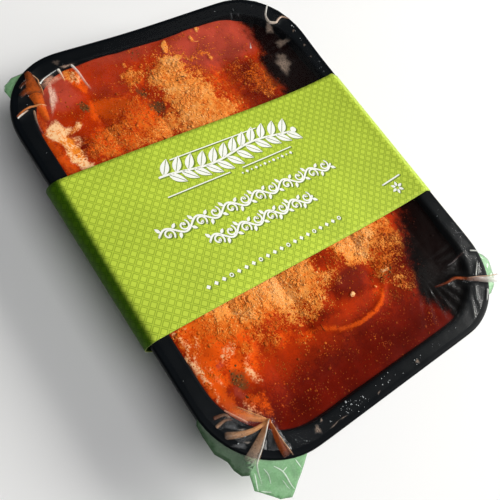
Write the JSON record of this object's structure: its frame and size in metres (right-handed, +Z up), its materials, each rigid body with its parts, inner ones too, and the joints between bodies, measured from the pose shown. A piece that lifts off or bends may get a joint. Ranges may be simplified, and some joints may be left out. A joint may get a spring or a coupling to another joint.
{
  "type": "cannelloni ready meal",
  "caption": "Chilled cannelloni ready meal: rounded black tray of pasta under tomato sauce and browned cheese, clear sealed film, green card sleeve round the middle.",
  "frame": {"origin": "centre of the sleeve's flat underside, straight below the middle of the tray, on the surface that the pack stands on", "axes": "+Z up; +Y along the tray's long side, away from the reader of the sleeve's front; +X to that reader's right, along the sleeve's print"},
  "size_m": [0.1843, 0.2358, 0.0396],
  "materials": {
    "tray_plastic": "black thermoformed plastic with a soft sheen",
    "tomato_sauce": "wet baked tomato sauce",
    "browned_cheese": "melted and browned cheese",
    "herbs": "dried herb flakes",
    "clear_film": "clear glossy film with creases, faintly green where it hangs loose",
    "green_card": "printed satin card with a small woven-square pattern",
    "white_print": "flat white print"
  },
  "bodies": {
    "root": {"tray": "tray_plastic", "filling": "tomato_sauce", "film": "clear_film", "sleeve": "green_card"}
  },
  "joints": []
}
